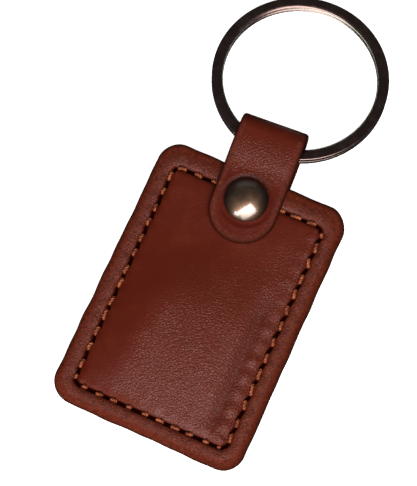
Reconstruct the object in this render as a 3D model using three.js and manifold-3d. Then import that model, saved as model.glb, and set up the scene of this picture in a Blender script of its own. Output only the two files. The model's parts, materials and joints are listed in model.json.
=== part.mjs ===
import * as THREE from 'three';
import { mergeVertices } from 'three/addons/utils/BufferGeometryUtils.js';
import Module from 'manifold-3d';

const wasm = await Module();
wasm.setup();

// Leather body, in millimetres
const bodyWidth = 39;
const bodyLength = 55;
const bodyCorner = 4.4;
const panelThickness = 1.5;
const edgeRound = 0.9;
const edgeBevel = 0.15;

// Lockstitch seam
const seamInset = 3.85;
const seamTopInset = 4.75;
const grooveShoulder = 0.35;
const grooveCorner = 0.7;
const stitchesTop = 9;
const stitchesAlong = 14;
const stitchesBottom = 10;
const cornerLead = 0.4;
const cornerStop = 2.1;
const topCornerStop = 2.9;
const holeToRivet = 1.2;
const threadDiameter = 0.56;
const threadClearance = 0.1;
const threadLift = 0.05;
const threadLockGap = 0.34;

// Raised front over the insert
const pillowRise = 1.5;
const pillowFlank = 6;
const pillowTopFlank = 10.5;
const pillowCorner = 3.6;
const pillowSetIn = 0.1;
const strapToPillow = 0.6;
const backPadRise = 0.3;
const backPadFlank = 1.2;

// Insert
const insertMargin = 2.2;
const insertClearance = 0.15;
const carrierThickness = 0.4;
const coverThickness = 0.6;
const coverHeadroom = 0.05;
const coilMargin = 1.7;
const coilTurns = 5;
const coilPitch = 0.9;
const coilWire = 0.4;
const coilHeight = 0.25;
const coilCorner = 0.8;
const chipSize = 3.2;
const chipHeight = 0.3;
const chipSetIn = 2.6;
const tabLength = 2;
const tabWidth = 1.4;
const tabHeight = 0.15;
const bridgeWidth = 1;
const bridgeThickness = 0.15;

// Rivet
const rivetFromTop = 6.1;
const rivetDiameter = 8.6;
const rivetDomeHeight = 2.9;
const rivetShell = 0.4;
const rivetLip = 0.9;
const rivetHeadDiameter = 8;
const rivetHeadHeight = 1.1;
const barrelDiameter = 3.4;
const barrelWall = 0.45;
const flangeThickness = 0.4;
const rivetClearance = 0.15;

// Strap folded over the ring
const strapWidth = 13.4;
const strapThickness = 1.3;
const strapSlip = 0.1;
const strapTurn = 3.4;
const strapEndDrop = 8.4;
const strapEndEase = 0.5;
const strapFoldCorner = 0.7;
const strapShoulder = 3.2;
const dentRadius = 5.2;
const dentDepth = 0.2;
const dentSlope = 0.35;

// Split ring
const ringDiameter = 35;
const wireWidth = 2.05;
const wireThickness = 1.1;
const wireBevel = 0.25;
const coilGap = 0.15;
const stepAngle = 26;
const stepPlace = 259;
const endGapAngle = 1.5;
const ringSideShift = 0.8;
const pivotLead = 6.55;
const foldLead = 1.1;
const eyeClearance = 0.08;

// Sizes that follow from the ones above
const threadRadius = threadDiameter / 2;
const grooveDepth = threadDiameter + threadLift;
const grooveFloor = panelThickness - grooveDepth;
const slotWidth = threadDiameter + 2 * threadClearance;
const strandSpread = 1.5 * threadRadius;
const slotReach = strandSpread + threadRadius + threadClearance;
const grooveHalf = slotWidth / 2 + threadClearance;
const grooveOuter = grooveHalf + grooveShoulder;
const seamCorner = grooveCorner + grooveOuter;
const seamWidth = bodyWidth - 2 * seamInset;
const seamLength = bodyLength - seamInset - seamTopInset;
const seamY = (seamInset - seamTopInset) / 2;
const rivetY = bodyLength / 2 - rivetFromTop;
const rivetBoreRadius = barrelDiameter / 2 + rivetClearance;
const pillowInset = seamInset + grooveOuter + pillowSetIn;
const pillowWidth = bodyWidth - 2 * pillowInset;
const pillowBottom = -bodyLength / 2 + pillowInset;
const pillowTop = rivetY - strapEndDrop - strapToPillow;
const pillowLength = pillowTop - pillowBottom;
const pillowY = (pillowTop + pillowBottom) / 2;
const topShare = pillowTopFlank / pillowFlank;
const insertWidth = pillowWidth - 2 * insertMargin;
const insertLength = pillowLength - insertMargin * (1 + topShare);
const insertY = pillowY + insertMargin * (1 - topShare) / 2;
const carrierBottom = -backPadRise;
const carrierTop = carrierBottom + carrierThickness;
const coverTop = carrierTop + coverThickness;
const strapEndRadius = strapWidth / 2 + strapEndEase;
const legInner = panelThickness + strapSlip;
const legOuter = legInner + strapThickness;
const capBase = legOuter - dentDepth + strapSlip;
const headTop = -legOuter - strapSlip;
const floorLevel = headTop - rivetHeadHeight;
const ringOuter = ringDiameter / 2;
const ringInner = ringOuter - wireWidth;
const ringHalf = wireThickness + coilGap / 2;
const eyeHalfSpan = strapWidth / 2 + ringSideShift;
const innerAtStrapEdge = Math.sqrt(ringInner ** 2 - eyeHalfSpan ** 2);
const pivotRadius = (ringOuter + innerAtStrapEdge) / 2;
const ringReach = (ringOuter - innerAtStrapEdge) / 2;
const eyeHalf = Math.hypot(ringReach, ringHalf - wireBevel) + eyeClearance;
const pivotRise = rivetFromTop + pivotLead;
const foldCentre = pivotRise + foldLead;
const foldTop = foldCentre + eyeHalf + strapThickness;
const ringDroop = Math.asin((-floorLevel - ringHalf) / (pivotRadius + ringOuter));

const radians = THREE.MathUtils.degToRad;

// Materials
function material(color, roughness, metalness) {
  return new THREE.MeshStandardMaterial({ color, roughness, metalness });
}
const leather = () => material(0x6b2b20, 0.55, 0);
const threadBrown = () => material(0xb5653f, 0.7, 0);
const darkNickel = () => material(0x4a4340, 0.2, 1);
const steel = () => material(0x8d8a86, 0.35, 1);
const copper = () => material(0xb87346, 0.35, 1);
const sheetPlastic = () => material(0xe6e3d8, 0.6, 0);

// Rings of points joined into one closed skin
function loft(rings) {
  const count = rings[0].length;
  const positions = [];
  for (const ring of rings) {
    for (const point of ring) {
      positions.push(point.x, point.y, point.z);
    }
  }
  const index = [];
  for (let level = 0; level + 1 < rings.length; level++) {
    for (let i = 0; i < count; i++) {
      const j = (i + 1) % count;
      const a = level * count + i;
      const b = level * count + j;
      const c = (level + 1) * count + j;
      const d = (level + 1) * count + i;
      index.push(a, b, c, a, c, d);
    }
  }
  const last = (rings.length - 1) * count;
  for (let i = 1; i + 1 < count; i++) {
    index.push(0, i + 1, i);
    index.push(last, last + i, last + i + 1);
  }
  const geometry = new THREE.BufferGeometry();
  geometry.setAttribute('position', new THREE.Float32BufferAttribute(positions, 3));
  geometry.setIndex(index);
  return geometry;
}

// Rounded rectangle at one height, anticlockwise
function rectangleRing(width, length, radius, z, centreY = 0, steps = 5) {
  const ring = [];
  const corners = [[1, -1, -90], [1, 1, 0], [-1, 1, 90], [-1, -1, 180]];
  for (const [sideX, sideY, start] of corners) {
    for (let step = 0; step <= steps; step++) {
      const angle = radians(start + 90 * step / steps);
      ring.push(new THREE.Vector3(
        sideX * (width / 2 - radius) + radius * Math.cos(angle),
        centreY + sideY * (length / 2 - radius) + radius * Math.sin(angle),
        z));
    }
  }
  return ring;
}

// Stack of rounded rectangles given as inset and height
function insetRings(width, length, corner, steps, centreY = 0) {
  return steps.map(([inset, z]) => rectangleRing(
    width - 2 * inset,
    length - 2 * inset,
    corner - inset,
    z,
    centreY));
}

// The same for the soft rise over the insert, which is longer at its top end and keeps its corners
function pillowLoft(steps) {
  return loft(steps.map(([inset, z]) => rectangleRing(
    pillowWidth - 2 * inset,
    pillowLength - inset * (1 + topShare),
    pillowCorner,
    z,
    pillowY + inset * (1 - topShare) / 2)));
}

function insertRing(spread, z) {
  return rectangleRing(insertWidth + 2 * spread, insertLength + 2 * spread,
    pillowCorner + spread, z, insertY);
}

// Section of side and up offsets carried along a path
function sweep(path, section) {
  const up = new THREE.Vector3(0, 0, 1);
  const rings = path.map((point, i) => {
    const before = point.clone().sub(path[Math.max(i - 1, 0)]).normalize();
    const after = path[Math.min(i + 1, path.length - 1)].clone().sub(point).normalize();
    const along = before.clone().add(after).normalize();
    const side = up.clone().cross(along).normalize();
    const rise = along.clone().cross(side);
    const reference = before.lengthSq() > 0 ? before : after;
    const flatTurn = new THREE.Vector2(reference.x, reference.y).normalize();
    const flatAlong = new THREE.Vector2(along.x, along.y).normalize();
    const spread = 1 / Math.max(flatTurn.dot(flatAlong), 0.6);
    return section.map(([across, above]) => point.clone()
      .addScaledVector(side, across * spread)
      .addScaledVector(rise, above));
  });
  return loft(rings);
}

function roundSection(radius, sides) {
  const section = [];
  for (let i = 0; i < sides; i++) {
    const angle = 2 * Math.PI * (i + 0.5) / sides;
    section.push([radius * Math.cos(angle), radius * Math.sin(angle)]);
  }
  return section;
}

// Closed outline of radius and height turned about the upright axis
function turned(profile, segments = 32) {
  const points = profile.map(([radius, height]) => new THREE.Vector2(radius, height));
  const geometry = new THREE.LatheGeometry(points, segments);
  geometry.rotateX(Math.PI / 2);
  return outward(geometry);
}

function outward(geometry) {
  const bare = welded(geometry);
  const position = bare.attributes.position;
  const index = Array.from(bare.index.array);
  const a = new THREE.Vector3();
  const b = new THREE.Vector3();
  const c = new THREE.Vector3();
  let volume = 0;
  for (let i = 0; i < index.length; i += 3) {
    a.fromBufferAttribute(position, index[i]);
    b.fromBufferAttribute(position, index[i + 1]);
    c.fromBufferAttribute(position, index[i + 2]);
    volume += a.dot(b.cross(c)) / 6;
  }
  if (volume < 0) {
    for (let i = 0; i < index.length; i += 3) {
      const swap = index[i];
      index[i] = index[i + 1];
      index[i + 1] = swap;
    }
    bare.setIndex(index);
  }
  return bare;
}

function welded(geometry) {
  const bare = geometry.clone();
  bare.deleteAttribute('normal');
  bare.deleteAttribute('uv');
  const merged = mergeVertices(bare, 1e-4);
  const index = merged.index.array;
  const kept = [];
  for (let i = 0; i < index.length; i += 3) {
    const [a, b, c] = [index[i], index[i + 1], index[i + 2]];
    if (a !== b && b !== c && c !== a) {
      kept.push(a, b, c);
    }
  }
  merged.setIndex(kept);
  return merged;
}

function solid(geometry) {
  const bare = welded(geometry);
  return new wasm.Manifold(new wasm.Mesh({
    numProp: 3,
    vertProperties: new Float32Array(bare.attributes.position.array),
    triVerts: new Uint32Array(bare.index.array),
  }));
}

function geometryOf(manifold) {
  const mesh = manifold.getMesh();
  const geometry = new THREE.BufferGeometry();
  geometry.setAttribute('position', new THREE.Float32BufferAttribute(mesh.vertProperties, 3));
  geometry.setIndex(Array.from(mesh.triVerts));
  return geometry;
}

function box(width, length, bottom, top, x = 0, y = 0) {
  const geometry = new THREE.BoxGeometry(width, length, top - bottom);
  geometry.translate(x, y, (top + bottom) / 2);
  return geometry;
}

function rod(radius, bottom, top, x = 0, y = 0, segments = 24) {
  const geometry = new THREE.CylinderGeometry(radius, radius, top - bottom, segments);
  geometry.rotateX(Math.PI / 2);
  geometry.translate(x, y, (top + bottom) / 2);
  return geometry;
}

function piece(name, geometry, look) {
  const flat = geometry.clone();
  flat.computeVertexNormals();
  const mesh = new THREE.Mesh(flat, look);
  mesh.name = name;
  return mesh;
}

// Stitch line, anticlockwise from the middle of the top right corner
function seamPath() {
  const path = new THREE.Path();
  const corners = [[1, 1], [-1, 1], [-1, -1], [1, -1], [1, 1]];
  corners.forEach(([sideX, sideY], i) => path.absarc(
    sideX * (seamWidth / 2 - seamCorner),
    seamY + sideY * (seamLength / 2 - seamCorner),
    seamCorner,
    radians(Math.max(90 * i, 45)),
    radians(Math.min(90 * (i + 1), 405))));
  return path;
}

const seamLine = seamPath();

function seamShare(place) {
  const whole = seamLine.getLength();
  return (place % whole) / whole;
}

// Places of the needle holes along the stitch line, from the left of the rivet round to its right
function needleHoles() {
  const cornerSaving = seamCorner * (2 - Math.PI / 2);
  const sides = [
    { length: seamWidth - cornerSaving, count: stitchesTop, stop: topCornerStop },
    { length: seamLength - cornerSaving, count: stitchesAlong, stop: cornerStop },
    { length: seamWidth - cornerSaving, count: stitchesBottom, stop: cornerStop },
    { length: seamLength - cornerSaving, count: stitchesAlong, stop: cornerStop },
  ];
  const holes = [];
  let begin = 0;
  for (const { length, count, stop } of sides) {
    const pitch = (length - cornerLead - stop) / (count - 1);
    for (let k = 0; k < count; k++) {
      holes.push({ place: begin + cornerLead + pitch * k, corner: k === 0 });
    }
    begin += length;
  }
  const rivet = new THREE.Vector2(0, rivetY);
  const keepOut = rivetBoreRadius + slotReach + holeToRivet;
  const blocked = holes.map(({ place }) =>
    seamLine.getPoint(seamShare(place)).distanceTo(rivet) < keepOut);
  const toRight = holes.slice(0, blocked.indexOf(true))
    .map(({ place, corner }) => ({ place: place + begin, corner }));
  return holes.slice(blocked.lastIndexOf(true) + 1).concat(toRight);
}

const holes = needleHoles();

function slotCutters() {
  const reach = panelThickness + 1;
  return holes.map(({ place, corner }) => {
    const spot = seamLine.getPoint(seamShare(place));
    if (corner) {
      return solid(rod(slotReach, -reach, reach, spot.x, spot.y, 12));
    }
    const along = seamLine.getTangent(seamShare(place));
    const slot = box(2 * slotReach, slotWidth, -reach, reach);
    slot.rotateZ(Math.atan2(along.y, along.x));
    slot.translate(spot.x, spot.y, 0);
    return solid(slot);
  });
}

// One thread that dips into every hole, above or below the middle plane
function threadPath(sign) {
  const dip = threadRadius + threadLockGap / 2;
  const turn = grooveFloor + 0.7 * threadRadius;
  const top = grooveFloor + threadLift + threadRadius;
  const edge = slotReach + threadLift;
  const path = [];
  const add = (place, height) => {
    const spot = seamLine.getPoint(seamShare(place));
    path.push(new THREE.Vector3(spot.x, spot.y, sign * height));
  };
  holes.forEach(({ place }, i) => {
    add(place, dip);
    const next = holes[i + 1];
    if (next) {
      const steps = next.corner ? 6 : 1;
      add(place + strandSpread, turn);
      for (let step = 0; step <= steps; step++) {
        add(place + edge + (next.place - place - 2 * edge) * step / steps, top);
      }
      add(next.place - strandSpread, turn);
    }
  });
  return path;
}

// Leather plate with a rounded rim and the sunk seam groove
function plateRings() {
  const rim = [[edgeBevel, 0], [0, edgeBevel]];
  for (let i = 0; i <= 4; i++) {
    const angle = radians(90 * i / 4);
    rim.push([
      edgeRound * (1 - Math.cos(angle)),
      panelThickness - edgeRound * (1 - Math.sin(angle)),
    ]);
  }
  const groove = [
    [-grooveOuter, panelThickness],
    [-grooveHalf, grooveFloor],
    [grooveHalf, grooveFloor],
    [grooveOuter, panelThickness],
  ];
  return insetRings(bodyWidth, bodyLength, bodyCorner, rim)
    .concat(insetRings(seamWidth, seamLength, seamCorner, groove, seamY));
}

function pillowHeight(inset) {
  const share = Math.min(Math.max(inset / pillowFlank, 0), 1);
  return pillowRise * (1 - (1 - share) ** 2.2);
}

function pillowSteps(setIn, lower, from, count) {
  const steps = [];
  for (let i = 0; i <= count; i++) {
    const inset = from + (pillowFlank - from) * i / count;
    steps.push([inset + setIn, pillowHeight(inset) + lower]);
  }
  return steps;
}

const cutters = slotCutters();
const rivetBore = solid(rod(
  rivetBoreRadius,
  -legOuter - 1,
  legOuter + 1,
  0,
  rivetY));

function frontPanel() {
  const plate = solid(loft(plateRings()));
  const crown = [[0, panelThickness / 2], ...pillowSteps(0, panelThickness, 0, 6)];
  const pillow = solid(pillowLoft(crown));
  const mouth = insertMargin - insertClearance;
  const shelf = coverTop + insertClearance;
  const from = insertMargin + insertClearance;
  const hollow = [[mouth, -1], [mouth, shelf], ...pillowSteps(0, 0, from, 4).slice(1)];
  const pocket = solid(pillowLoft(hollow));
  return geometryOf(wasm.Manifold.union([plate, pillow])
    .subtract(wasm.Manifold.union([pocket, rivetBore, ...cutters])));
}

function backPanel() {
  const flipped = (rings) => loft(rings.reverse().map((ring) => ring.map(
    ({ x, y, z }) => new THREE.Vector3(x, y, -z))));
  const plate = solid(flipped(plateRings()));
  const padSteps = [
    [0, panelThickness / 2],
    [0, panelThickness],
    [backPadFlank / 2, panelThickness + 0.75 * backPadRise],
    [backPadFlank, panelThickness + backPadRise],
  ];
  const pad = solid(flipped(insetRings(pillowWidth, pillowLength, pillowCorner, padSteps, pillowY)));
  const recess = solid(loft([insertRing(insertClearance, carrierBottom), insertRing(insertClearance, 1)]));
  return geometryOf(wasm.Manifold.union([plate, pad])
    .subtract(wasm.Manifold.union([recess, rivetBore, ...cutters])));
}

// Antenna winding on the carrier, with the chip inside its lower edge
const coilX = insertWidth / 2 - coilMargin;
const coilY = insertLength / 2 - coilMargin;
const chipY = insertY - coilY + coilPitch * coilTurns + chipSetIn;
const tabX = chipSize / 2 + tabLength / 2;

function coilPath() {
  const corners = [];
  for (let turn = 0; turn < coilTurns; turn++) {
    const inset = coilPitch * turn;
    corners.push(
      [coilX - inset, -coilY + inset],
      [coilX - inset, coilY - inset],
      [-coilX + inset, coilY - inset],
      [-coilX + inset, -coilY + inset + coilPitch]);
  }
  corners.push([-tabX, -coilY + coilPitch * coilTurns]);
  const route = [[tabX, -coilY], ...corners];
  route.push([-tabX, chipY - insertY - tabWidth / 2 - coilWire]);
  const spots = route.map(([x, y]) => new THREE.Vector3(x, insertY + y, carrierTop + coilHeight / 2));
  const path = [spots[0]];
  for (let i = 1; i + 1 < spots.length; i++) {
    const toBefore = spots[i - 1].clone().sub(spots[i]).normalize();
    const toAfter = spots[i + 1].clone().sub(spots[i]).normalize();
    const enter = spots[i].clone().addScaledVector(toBefore, coilCorner);
    const leave = spots[i].clone().addScaledVector(toAfter, coilCorner);
    const curve = new THREE.QuadraticBezierCurve3(enter, spots[i], leave);
    path.push(...curve.getPoints(3));
  }
  path.push(spots[spots.length - 1]);
  return path;
}

function leastGap(path, width) {
  const line = new THREE.CurvePath();
  for (let i = 0; i + 1 < path.length; i++) {
    line.add(new THREE.LineCurve3(path[i], path[i + 1]));
  }
  const length = line.getLength();
  const points = line.getSpacedPoints(Math.ceil(length / width));
  const skip = 6;
  let least = Infinity;
  for (let i = 0; i < points.length; i++) {
    for (let j = i + skip; j < points.length; j++) {
      least = Math.min(least, points[i].distanceTo(points[j]) - width);
    }
  }
  return least;
}

function carrier() {
  const sheet = solid(loft([insertRing(0, carrierBottom), insertRing(0, carrierTop)]));
  const reach = chipY - insertY + coilY + 2 * bridgeWidth;
  const groove = solid(box(
    bridgeWidth + 2 * insertClearance,
    reach + 2 * insertClearance,
    carrierBottom - 1,
    carrierBottom + bridgeThickness,
    tabX,
    (chipY + insertY - coilY) / 2));
  return geometryOf(sheet.subtract(groove));
}

function bridge() {
  const reach = chipY - insertY + coilY + 2 * bridgeWidth;
  return box(bridgeWidth, reach, carrierBottom, carrierBottom + bridgeThickness, tabX,
    (chipY + insertY - coilY) / 2);
}

function cover() {
  const sheet = solid(loft([insertRing(0, carrierTop), insertRing(0, coverTop)]));
  const rim = coilMargin - coilWire;
  const roof = carrierTop + chipHeight + coverHeadroom;
  const hollowRing = (z) => rectangleRing(insertWidth - 2 * rim, insertLength - 2 * rim,
    coilCorner + coilWire, z, insertY);
  const hollow = solid(loft([hollowRing(carrierTop - 1), hollowRing(roof)]));
  return geometryOf(sheet.subtract(hollow));
}

function padding() {
  const from = insertMargin + 3 * insertClearance;
  const steps = pillowSteps(insertClearance, -insertClearance, from, 4).slice(1);
  return pillowLoft([[from + insertClearance, coverTop], ...steps]);
}

// Rivet pieces, turned about the rivet axis
function dome(base, height, radius, sign, steps) {
  const curve = [];
  for (let i = 0; i <= steps; i++) {
    const angle = radians(90 * i / steps);
    curve.push([radius * Math.sin(angle), base + sign * height * Math.cos(angle) ** 0.85]);
  }
  return curve;
}

function rivetCap() {
  const radius = rivetDiameter / 2;
  const rimHeight = rivetShell;
  const outside = dome(capBase + rimHeight, rivetDomeHeight - rimHeight, radius, 1, 9);
  const inside = dome(capBase + rimHeight, rivetDomeHeight - rimHeight - rivetShell,
    radius - rivetShell, 1, 7);
  const lip = [
    [radius - rivetShell / 2, capBase],
    [radius - rivetShell - rivetLip, capBase],
    [radius - rivetShell - rivetLip, capBase + rivetShell],
  ];
  return turned([...outside, ...lip, ...inside.reverse()], 36);
}

function rivetBarrel() {
  const outer = barrelDiameter / 2;
  const inner = outer - barrelWall;
  const flange = rivetDiameter / 2 - 2 * rivetShell;
  const seat = capBase + rivetShell;
  return turned([
    [inner, -legOuter],
    [outer, -legOuter],
    [outer, seat],
    [flange, seat],
    [flange, seat + flangeThickness],
    [inner, seat + flangeThickness],
    [inner, -legOuter],
  ], 24);
}

function rivetPost() {
  const radius = barrelDiameter / 2 - barrelWall - rivetClearance;
  const head = dome(headTop, rivetHeadHeight, rivetHeadDiameter / 2, -1, 6);
  return turned([
    ...head,
    [radius, headTop],
    [radius, capBase - radius / 2],
    [radius / 2, capBase],
    [0, capBase],
  ], 24);
}

// Strap in its own frame, with the rivet axis at the origin
function strapCentreline() {
  const leg = (legInner + legOuter) / 2;
  const eye = eyeHalf + strapThickness / 2;
  const start = rivetFromTop - edgeRound;
  const end = rivetFromTop + strapShoulder;
  const half = (end - start) / 2;
  const upper = new THREE.Path();
  upper.moveTo(-strapEndDrop - 1, leg);
  upper.lineTo(start, leg);
  const points = upper.getPoints(1);
  const shoulder = new THREE.CubicBezierCurve(
    new THREE.Vector2(start, leg),
    new THREE.Vector2(start + half, leg),
    new THREE.Vector2(end - half, eye),
    new THREE.Vector2(end, eye));
  points.push(...shoulder.getPoints(6).slice(1));
  for (let i = 0; i <= 7; i++) {
    const angle = radians(90 - 90 * i / 7);
    points.push(new THREE.Vector2(foldCentre + eye * Math.cos(angle), eye * Math.sin(angle)));
  }
  const lower = points.slice(0, -1).reverse().map((point) => new THREE.Vector2(point.x, -point.y));
  return points.concat(lower);
}

function strapProfile() {
  const centre = strapCentreline();
  const outer = [];
  const inner = [];
  centre.forEach((point, i) => {
    const before = centre[Math.max(i - 1, 0)];
    const after = centre[Math.min(i + 1, centre.length - 1)];
    const along = after.clone().sub(before).normalize();
    const left = new THREE.Vector2(-along.y, along.x);
    outer.push(point.clone().addScaledVector(left, strapThickness / 2));
    inner.push(point.clone().addScaledVector(left, -strapThickness / 2));
  });
  return new THREE.Shape(outer.concat(inner.reverse()));
}

function strapOutline() {
  const half = strapWidth / 2;
  const endY = strapEndRadius - strapEndDrop;
  const swing = Math.asin(half / strapEndRadius);
  const shape = new THREE.Shape();
  shape.moveTo(half, foldTop - strapFoldCorner);
  shape.absarc(half - strapFoldCorner, foldTop - strapFoldCorner, strapFoldCorner, 0, Math.PI / 2);
  shape.absarc(strapFoldCorner - half, foldTop - strapFoldCorner, strapFoldCorner, Math.PI / 2, Math.PI);
  shape.absarc(0, endY, strapEndRadius, 1.5 * Math.PI - swing, 1.5 * Math.PI + swing);
  return shape;
}

function strap() {
  const strip = new THREE.ExtrudeGeometry(strapProfile(), {
    depth: strapWidth + 2,
    bevelEnabled: false,
  });
  strip.translate(0, 0, -strapWidth / 2 - 1);
  strip.applyMatrix4(new THREE.Matrix4().makeBasis(
    new THREE.Vector3(0, 1, 0),
    new THREE.Vector3(0, 0, 1),
    new THREE.Vector3(1, 0, 0)));
  const reach = legOuter + eyeHalf + strapThickness;
  const blank = new THREE.ExtrudeGeometry(strapOutline(), {
    depth: 2 * reach,
    bevelEnabled: false,
    curveSegments: 8,
  });
  blank.translate(0, 0, -reach);
  const dent = turned([
    [0, legOuter - dentDepth],
    [dentRadius - dentSlope, legOuter - dentDepth],
    [dentRadius, legOuter],
    [dentRadius, legOuter + 1],
    [0, legOuter + 1],
  ], 36);
  const bore = rod(rivetBoreRadius, -reach, reach);
  return geometryOf(solid(strip)
    .intersect(solid(blank))
    .subtract(wasm.Manifold.union([solid(dent), solid(bore)])));
}

// Flat wire wound twice, with a step from the upper turn to the lower one
function splitRing() {
  const middle = ringOuter - wireWidth / 2;
  const halfWidth = wireWidth / 2;
  const halfThickness = wireThickness / 2;
  const level = (wireThickness + coilGap) / 2;
  const from = stepAngle / 2 + endGapAngle;
  const to = 720 - from;
  const angles = [];
  const add = (start, end, count) => {
    for (let i = 0; i < count; i++) {
      angles.push(start + (end - start) * i / count);
    }
  };
  add(from, 360 - stepAngle / 2, 42);
  add(360 - stepAngle / 2, 360 + stepAngle / 2, 8);
  add(360 + stepAngle / 2, to, 42);
  angles.push(to);
  const section = [
    [halfWidth, wireBevel - halfThickness],
    [halfWidth, halfThickness - wireBevel],
    [halfWidth - wireBevel, halfThickness],
    [wireBevel - halfWidth, halfThickness],
    [-halfWidth, halfThickness - wireBevel],
    [-halfWidth, wireBevel - halfThickness],
    [wireBevel - halfWidth, -halfThickness],
    [halfWidth - wireBevel, -halfThickness],
  ];
  const rings = angles.map((angle) => {
    const share = THREE.MathUtils.smoothstep(angle, 360 - stepAngle / 2, 360 + stepAngle / 2);
    const height = level - 2 * level * share;
    const turn = radians(angle + stepPlace);
    return section.map(([out, above]) => new THREE.Vector3(
      (middle + out) * Math.cos(turn),
      (middle + out) * Math.sin(turn),
      height + above));
  });
  return outward(loft(rings));
}

// Assembly: body, strap on the rivet, ring in the eye of the strap
const tag = new THREE.Group();
tag.name = 'leather_rfid_tag';

const coilLine = coilPath();
const coilSection = [
  [coilWire / 2, -coilHeight / 2],
  [coilWire / 2, coilHeight / 2],
  [-coilWire / 2, coilHeight / 2],
  [-coilWire / 2, -coilHeight / 2],
];
const chipTop = carrierTop + chipHeight;
const tabTop = carrierTop + tabHeight;

tag.add(piece('front_panel', frontPanel(), leather()));
tag.add(piece('back_panel', backPanel(), leather()));
tag.add(piece('needle_thread', outward(sweep(threadPath(1), roundSection(threadRadius, 5))), threadBrown()));
tag.add(piece('bobbin_thread', outward(sweep(threadPath(-1), roundSection(threadRadius, 5))), threadBrown()));
tag.add(piece('padding', padding(), material(0xcfcab8, 0.95, 0)));
tag.add(piece('inlay_carrier', carrier(), sheetPlastic()));
tag.add(piece('inlay_cover', cover(), sheetPlastic()));
tag.add(piece('antenna_coil', outward(sweep(coilLine, coilSection)), copper()));
tag.add(piece('antenna_bridge', bridge(), copper()));
tag.add(piece('chip_package', box(chipSize, chipSize, carrierTop, chipTop, 0, chipY), material(0x1c1c1e, 0.5, 0)));
tag.add(piece('chip_tab_inner', box(tabLength, tabWidth, carrierTop, tabTop, -tabX, chipY), steel()));
tag.add(piece('chip_tab_outer', box(tabLength, tabWidth, carrierTop, tabTop, tabX, chipY), steel()));

for (const [name, geometry] of [
  ['rivet_cap', rivetCap()],
  ['rivet_barrel', rivetBarrel()],
  ['rivet_post', rivetPost()],
]) {
  const mesh = piece(name, geometry, name === 'rivet_cap' ? darkNickel() : steel());
  mesh.position.y = rivetY;
  tag.add(mesh);
}

const strapGroup = new THREE.Group();
strapGroup.position.y = rivetY;
strapGroup.rotation.z = radians(strapTurn);
strapGroup.add(piece('strap', strap(), leather()));
tag.add(strapGroup);

const ringGroup = new THREE.Group();
ringGroup.position.y = pivotRise;
ringGroup.rotation.x = -ringDroop;
const ring = piece('split_ring', splitRing(), darkNickel());
ring.position.set(ringSideShift, pivotRadius, 0);
ringGroup.add(ring);
strapGroup.add(ringGroup);

// Origin on the floor under the middle of the whole tag
const part = new THREE.Group();
part.name = 'part';
part.add(tag);
part.updateMatrixWorld(true);
const bounds = new THREE.Box3().setFromObject(part, true);
const centre = bounds.getCenter(new THREE.Vector3());
tag.position.set(-centre.x, -centre.y, -bounds.min.z);

console.log(`antenna coil least gap to itself ${leastGap(coilLine, coilWire).toFixed(2)} mm`);

export default part;
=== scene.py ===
import bisect
import json
import math

import bmesh
import bpy
from mathutils import Matrix, Vector, geometry, noise


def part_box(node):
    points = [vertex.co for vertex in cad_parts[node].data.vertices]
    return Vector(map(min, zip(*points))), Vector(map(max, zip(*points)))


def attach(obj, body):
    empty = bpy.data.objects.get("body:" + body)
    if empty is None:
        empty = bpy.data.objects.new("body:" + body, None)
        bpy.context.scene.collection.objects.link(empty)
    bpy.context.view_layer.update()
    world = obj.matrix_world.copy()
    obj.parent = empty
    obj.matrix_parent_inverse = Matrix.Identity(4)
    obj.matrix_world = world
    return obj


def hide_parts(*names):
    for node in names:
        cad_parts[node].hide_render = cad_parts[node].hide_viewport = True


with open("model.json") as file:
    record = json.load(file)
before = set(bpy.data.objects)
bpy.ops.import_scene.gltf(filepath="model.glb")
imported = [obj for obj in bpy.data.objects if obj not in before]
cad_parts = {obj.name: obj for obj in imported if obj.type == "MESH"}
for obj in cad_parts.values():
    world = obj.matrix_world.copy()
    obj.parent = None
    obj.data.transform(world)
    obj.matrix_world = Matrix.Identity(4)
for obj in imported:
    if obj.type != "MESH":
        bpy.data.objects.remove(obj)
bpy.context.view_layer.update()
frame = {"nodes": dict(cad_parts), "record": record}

print("frame loaded:", len(frame["nodes"]), "nodes")

# The leather body: lengths in millimetres from its middle, on the plane where the two panels meet
mm = 0.001
tiny = 1e-6
toEdge = math.inf  # for the last band of cells, which runs on to the edge
body = {
    "halfWidth": 19.5,
    "halfLength": 27.5,
    "corner": 4.4,
    "thick": 1.5,
    "rim": 1.15,  # how far the edge is rolled over
    "lowerEdge": 0.15,
    "boreRadius": 1.85,
    "waver": (0.20, 4.6),  # the soft edge isn't quite straight
    "waverSpan": (1.0, 3.6),
}
panelLow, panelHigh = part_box("front_panel")
bodyPlace = Vector(((panelLow.x + panelHigh.x) / 2, (panelLow.y + panelHigh.y) / 2, panelLow.z))
bodyFrame = Matrix.Translation(bodyPlace) @ Matrix.Scale(mm, 4)

# The joints say where the rivet stands, how far the strap is turned and where the ring swings
joints = {joint["name"]: joint for joint in frame["record"]["behaviour"]["joints"]}
rivetPlace = Vector(joints["strap_pivot"]["pos_m"])
swingPlace = Vector(joints["ring_swing"]["pos_m"])
swingAxis = joints["ring_swing"]["axis"]
strapTurn = Matrix.Rotation(math.atan2(swingAxis[1], swingAxis[0]), 4, "Z")
rivetFrame = Matrix.Translation(rivetPlace) @ Matrix.Scale(mm, 4)
strapFrame = rivetFrame @ strapTurn
rivetY = (rivetPlace.y - bodyPlace.y) / mm

# One fixed seed for each use of the noise
seeds = {
    "slot": 12.4,
    "puff": 5.3,
    "edgeX": 50.1,
    "edgeY": 57.9,
    "front": 3.1,
    "frontFine": 8.4,
    "back": 21.7,
    "strap": 40.2,
    "thread": 31.7,
}


def clamp(value, low, high):
    return min(max(value, low), high)


def ease(low, high, value):
    share = clamp((value - low) / (high - low), 0, 1)
    return share * share * (3 - 2 * share)


def swell(value, width):
    return math.exp(-(value / width) ** 2)


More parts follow.
